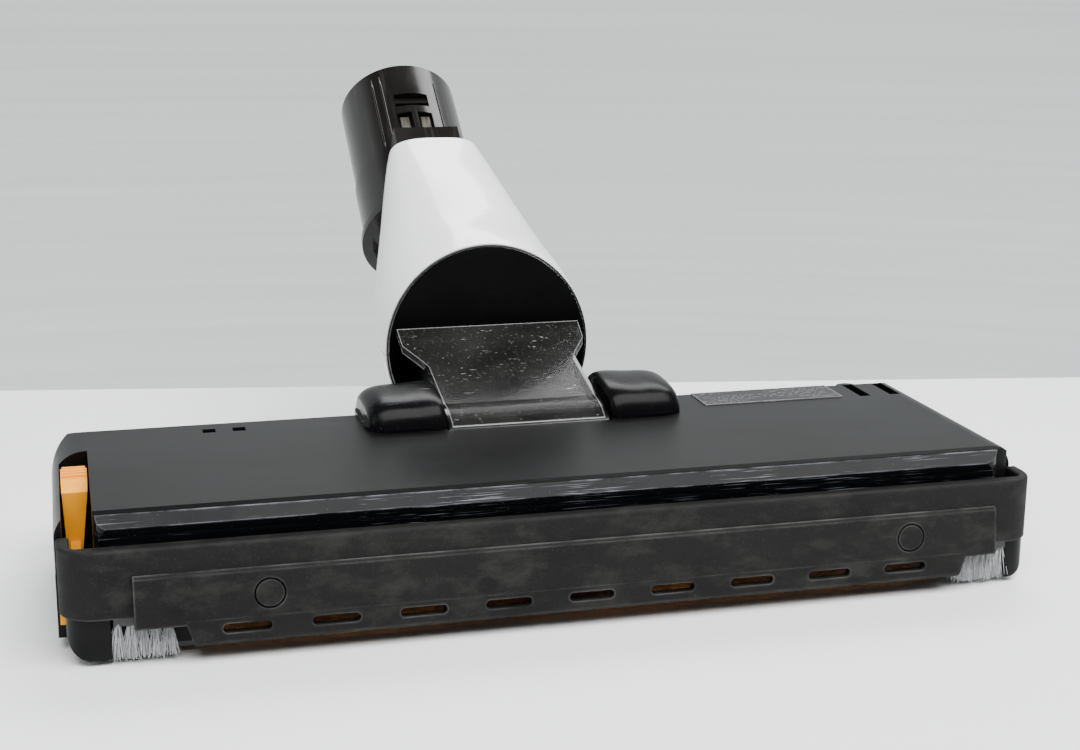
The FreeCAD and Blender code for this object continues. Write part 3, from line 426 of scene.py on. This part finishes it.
def add_tube(points, faces, path, radii, sides=6):
    """Append a tube along a path, with a radius at each of its points and closed ends."""
    start = len(points)
    for index, centre in enumerate(path):
        ahead = path[min(index + 1, len(path) - 1)] - path[max(index - 1, 0)]
        turn = ahead.to_track_quat("Z", "Y")
        for side in range(sides):
            angle = 2 * math.pi * side / sides
            points.append(centre + turn @ Vector((math.cos(angle), math.sin(angle), 0)) * radii[index])
    for index in range(len(path) - 1):
        for side in range(sides):
            first = start + index * sides + side
            second = start + index * sides + (side + 1) % sides
            faces.append((first, second, second + sides, first + sides))
    faces.append(tuple(start + side for side in reversed(range(sides))))
    last = start + (len(path) - 1) * sides
    faces.append(tuple(last + side for side in range(sides)))


# ---------------------------------------------------------------------------
# Bristles under the front corners
# ---------------------------------------------------------------------------
CLUMPS = 5
CLUMP_HAIRS = 64
TUFT_SPAN = 15.0 * MM
TUFT_OVERHANG = 0.3 * MM


def corner_bristles():
    rng = random.Random(7)
    low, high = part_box("corner_bristles")
    points, faces = [], []
    for x0 in (low.x - TUFT_OVERHANG, high.x + TUFT_OVERHANG - TUFT_SPAN):
        for clump in range(CLUMPS):
            middle = x0 + TUFT_SPAN * (clump + 0.5) / CLUMPS
            for _ in range(CLUMP_HAIRS):
                spread = rng.gauss(0, 0.62) * MM
                depth = rng.gauss(0, 0.45) * MM
                root = Vector((middle + spread * 0.5, high.y - 1.6 * MM + depth, high.z + 0.6 * MM))
                tip_x = middle + spread * 2.1 + rng.gauss(0, 0.35) * MM
                tip_y = low.y + 1.2 * MM + depth * 1.8 + rng.gauss(0, 0.3) * MM
                tip = Vector((tip_x, tip_y, low.z + abs(rng.gauss(0, 0.8)) * MM))
                bend = (root + tip) / 2 + Vector((rng.gauss(0, 0.2), 0.5 + rng.gauss(0, 0.2), 0)) * MM
                path = [root, bend, tip]
                add_tube(points, faces, path, [0.11 * MM, 0.10 * MM, 0.06 * MM], 4)
    piece = mesh_piece("corner_bristle_fibres", points, faces, "white_bristle", "head")
    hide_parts("corner_bristles")


corner_bristles()


# ---------------------------------------------------------------------------
# Brush roll: twisted rows of fibres and rubber blades
# ---------------------------------------------------------------------------
ROLL_LOW, ROLL_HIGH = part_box("brush_core")
ROLL_AXIS = (ROLL_LOW + ROLL_HIGH) / 2
CORE_RADIUS = (ROLL_HIGH.z - ROLL_LOW.z) / 2
ROLL_HALF = (ROLL_HIGH.x - ROLL_LOW.x) / 2
ROW_TWIST = math.pi
ROWS = 3
ROW_TURN = 360 / ROWS
BLADE_TURN = 60
ROW_CLUMPS = 150
ROW_HAIRS = 9
BLADE_STEPS = 120


def on_roll(x, radius, angle):
    return Vector((x, ROLL_AXIS.y - radius * math.sin(angle), ROLL_AXIS.z + radius * math.cos(angle)))


def roll_angle(x, first):
    return math.radians(first) + ROW_TWIST * (x + ROLL_HALF) / (2 * ROLL_HALF)


def roll_bristles():
    rng = random.Random(11)
    points, faces = [], []
    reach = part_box("brush_bristles")[1].z - ROLL_AXIS.z
    for row in range(ROWS):
        for index in range(ROW_CLUMPS):
            x = -ROLL_HALF + 2 * ROLL_HALF * (index + 0.5) / ROW_CLUMPS
            angle = roll_angle(x, row * ROW_TURN)
            for _ in range(ROW_HAIRS):
                lean = rng.gauss(0, 0.035)
                shift = rng.gauss(0, 0.35) * MM
                root = on_roll(x + shift * 0.5, CORE_RADIUS - 0.3 * MM, angle + lean)
                tip = on_roll(x + shift * 1.8, reach - abs(rng.gauss(0, 0.4)) * MM, angle + lean * 1.9)
                add_tube(points, faces, [root, tip], [0.13 * MM, 0.08 * MM], 3)
    piece = mesh_piece("brush_roll_fibres", points, faces, "brush_bristle", "brush_roll")
    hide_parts("brush_bristles")


def roll_blades():
    """Three soft strips that wind half a turn, thick at the root and thin at the edge."""
    points, faces = [], []
    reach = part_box("brush_blades")[1].z - ROLL_AXIS.z
    profile = [(CORE_RADIUS - 0.3 * MM, 1.5 * MM), (CORE_RADIUS + 1.2 * MM, 0.8 * MM),
               (reach - 0.6 * MM, 0.55 * MM), (reach, 0.3 * MM)]
    for row in range(ROWS):
        start = len(points)
        for step in range(BLADE_STEPS + 1):
            x = -ROLL_HALF + 2 * ROLL_HALF * step / BLADE_STEPS
            angle = roll_angle(x, BLADE_TURN + row * ROW_TURN)
            ripple = 0.02 * math.sin(step * 0.9 + row)
            ring = [(radius, half / radius) for radius, half in profile]
            ring += [(radius, -half / radius) for radius, half in reversed(profile)]
            for radius, offset in ring:
                bend = ripple * (radius - CORE_RADIUS) / (reach - CORE_RADIUS)
                points.append(on_roll(x, radius, angle + offset + bend))
        width = 2 * len(profile)
        for step in range(BLADE_STEPS):
            for side in range(width):
                first = start + step * width + side
                second = start + step * width + (side + 1) % width
                faces.append((first, second, second + width, first + width))
        faces.append(tuple(start + side for side in reversed(range(width))))
        faces.append(tuple(start + BLADE_STEPS * width + side for side in range(width)))
    piece = mesh_piece("brush_roll_blades", points, faces, "blade_rubber", "brush_roll")
    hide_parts("brush_blades")


roll_bristles()
roll_blades()


# ---------------------------------------------------------------------------
# Lever spring, as a wound wire
# ---------------------------------------------------------------------------
SPRING_TURNS = 5
SPRING_WIRE = 0.32 * MM


def lever_spring():
    low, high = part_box("lever_spring")
    axis = (low + high) / 2
    wire = SPRING_WIRE
    radius = (high.x - low.x) / 2 - wire
    steps = SPRING_TURNS * 16
    path = []
    for step in range(steps + 1):
        along = step / steps
        angle = 2 * math.pi * SPRING_TURNS * along
        rise = low.z + wire + (high.z - low.z - 2 * wire) * along
        path.append(Vector((axis.x + radius * math.cos(angle), axis.y + radius * math.sin(angle), rise)))
    points, faces = [], []
    add_tube(points, faces, path, [wire] * len(path), 8)
    piece = mesh_piece("lever_return_spring", points, faces, "steel", "head")
    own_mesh(piece)
    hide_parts("lever_spring")


lever_spring()


# ---------------------------------------------------------------------------
# Raised ribs on the pipe stub
# ---------------------------------------------------------------------------
def pipe_mount():
    """The stub's axis, as a point on it and a direction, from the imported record."""
    for mount in frame["record"]["mounts"]:
        if mount["name"] == "pipe_stub":
            return Vector(mount["pos_m"]), Vector(mount["axis"]).normalized(), mount["dims"]["r_mm"] * MM
    raise RuntimeError("the record has no pipe_stub mount")


PIPE_MIDDLE, PIPE_WAY, PIPE_RADIUS = pipe_mount()
PIPE_UP = Vector((0, -PIPE_WAY.z, PIPE_WAY.y))


def on_pipe(along, angle, radius):
    out = PIPE_UP * math.cos(angle) + Vector((1, 0, 0)) * math.sin(angle)
    return PIPE_MIDDLE + PIPE_WAY * along + out * radius


RIB_ANGLES = (-0.62, -0.47, 0.5)
RIB_FIRST, RIB_LAST = -20, 17
RIB_STEPS = 8


def pipe_ribs():
    points, faces = [], []
    for angle in RIB_ANGLES:
        path = []
        for step in range(RIB_STEPS + 1):
            along = (RIB_FIRST + (RIB_LAST - RIB_FIRST) * step / RIB_STEPS) * MM
            path.append(on_pipe(along, angle, PIPE_RADIUS - 0.15 * MM))
        radii = [0.2 * MM] + [0.5 * MM] * (RIB_STEPS - 1) + [0.2 * MM]
        add_tube(points, faces, path, radii, 10)
    mesh_piece("pipe_ribs", points, faces, "pipe_black", "neck")


pipe_ribs()


# ---------------------------------------------------------------------------
# Floor, light and camera
# ---------------------------------------------------------------------------
CAMERA_PLACE = Vector((-0.1271, -0.4708, 0.1757))
CAMERA_PITCH, CAMERA_ROLL, CAMERA_YAW = 14.0, -0.44, -15.12
CAMERA_LENS = 60.0
FLOOR_EDGE = 0.690
FLOOR_HALF = 3
EDGE_TURN = 4.65
WALL_TOP = 0.50
WALL_STRENGTH = 1.62
ROOM_STRENGTH = 0.22


def camera():
    data = bpy.data.cameras.new("camera")
    data.sensor_width = 36.0
    data.lens = CAMERA_LENS
    data.clip_start = 0.01
    item = bpy.data.objects.new("camera", data)
    bpy.context.scene.collection.objects.link(item)
    turn = Matrix.Rotation(math.radians(CAMERA_YAW), 3, "Z")
    lean = Matrix.Rotation(math.radians(90 - CAMERA_PITCH), 3, "X")
    roll = Matrix.Rotation(math.radians(-CAMERA_ROLL), 3, "Z")
    item.matrix_world = Matrix.Translation(CAMERA_PLACE) @ (turn @ lean @ roll).to_4x4()
    bpy.context.scene.camera = item


def floor():
    way = Vector((math.sin(math.radians(-CAMERA_YAW)), math.cos(math.radians(CAMERA_YAW)), 0))
    side = Vector((way.y, -way.x, 0))
    turn = math.radians(EDGE_TURN)
    base = Vector((CAMERA_PLACE.x, CAMERA_PLACE.y, 0))
    edge = side * math.cos(turn) + way * math.sin(turn)
    far, wide = base + way * FLOOR_EDGE, side * FLOOR_HALF
    near = base - way * FLOOR_HALF
    corners = [far - edge * FLOOR_HALF, far + edge * FLOOR_HALF, near + wide, near - wide]
    mesh = bpy.data.meshes.new("floor")
    mesh.from_pydata([tuple(corner) for corner in corners], [], [(0, 3, 2, 1)])
    item = bpy.data.objects.new("floor", mesh)
    bpy.context.scene.collection.objects.link(item)
    mesh.materials.append(pale_floor())


def soft_light(name, place, aim, wide, high, power, color):
    data = bpy.data.lights.new(name, "AREA")
    data.shape = "RECTANGLE"
    data.size = wide
    data.size_y = high
    data.energy = power
    data.color = color
    item = bpy.data.objects.new(name, data)
    item.location = place
    item.rotation_euler = (Vector(aim) - Vector(place)).to_track_quat("-Z", "Y").to_euler()
    bpy.context.scene.collection.objects.link(item)


def wall_glow(tree):
    """A pale wall behind the object, with faint level lines, that fades to a dim room elsewhere."""
    def node(kind, **values):
        made = tree.nodes.new(kind)
        for key, value in values.items():
            if isinstance(value, bpy.types.NodeSocket):
                tree.links.new(value, made.inputs[key.replace("_", " ")])
            else:
                made.inputs[key.replace("_", " ")].default_value = value
        return made

    def fade(value, low, high, start=0.0, end=1.0):
        return node("ShaderNodeMapRange", Value=value, From_Min=low, From_Max=high, To_Min=start,
                    To_Max=end).outputs["Result"]

    way = node("ShaderNodeTexCoord").outputs["Generated"]
    parts = node("ShaderNodeSeparateXYZ", Vector=way)
    toward = fade(parts.outputs["Y"], 0.0, 0.5)
    below_top = fade(parts.outputs["Z"], WALL_TOP + 0.25, WALL_TOP)
    cover = tree.nodes.new("ShaderNodeMath")
    cover.operation = "MULTIPLY"
    tree.links.new(toward, cover.inputs[0])
    tree.links.new(below_top, cover.inputs[1])
    glow = tree.nodes.new("ShaderNodeMath")
    glow.operation = "MULTIPLY"
    glow.inputs[1].default_value = WALL_STRENGTH
    tree.links.new(fade(parts.outputs["Z"], -0.25, -0.04, 1.12, 0.99), glow.inputs[0])
    stretched = node("ShaderNodeMapping", Vector=way, Scale=(1.5, 1.5, 260.0))
    lines = node("ShaderNodeTexNoise", Vector=stretched.outputs["Vector"], Scale=1.0, Detail=2.0)
    clouds = node("ShaderNodeTexNoise", Vector=way, Scale=2.2, Detail=2.0)
    tone = tree.nodes.new("ShaderNodeMath")
    tone.operation = "MULTIPLY"
    tree.links.new(fade(lines.outputs["Fac"], 0.2, 0.8, 0.95, 1.05), tone.inputs[0])
    tree.links.new(fade(clouds.outputs["Fac"], 0.3, 0.7, 0.96, 1.04), tone.inputs[1])
    wall = tree.nodes.new("ShaderNodeMath")
    wall.operation = "MULTIPLY"
    tree.links.new(tone.outputs["Value"], wall.inputs[0])
    tree.links.new(glow.outputs["Value"], wall.inputs[1])
    strength = fade(cover.outputs["Value"], 0.0, 1.0, ROOM_STRENGTH, 1.0)
    tree.links.new(wall.outputs["Value"], strength.node.inputs["To Max"])
    back = tree.nodes["Background"]
    back.inputs["Color"].default_value = (0.60, 0.635, 0.635, 1.0)
    tree.links.new(strength, back.inputs["Strength"])


def studio():
    world = bpy.data.worlds.new("studio")
    world.use_nodes = True
    wall_glow(world.node_tree)
    bpy.context.scene.world = world
    soft_light("front_top_panel", (0.2, -0.62, 1.25), (0, 0.02, 0), 1.9, 1.0, 55.0, (1.0, 1.0, 1.0))
    soft_light("rear_top_panel", (0.45, 0.85, 1.05), (0, 0.1, 0), 1.2, 0.5, 15.0, (1.0, 1.0, 1.0))
    soft_light("left_panel", (-1.05, -0.25, 0.65), (0, 0, 0.05), 0.6, 0.6, 2.5, (0.96, 0.98, 1.0))


camera()
floor()
studio()
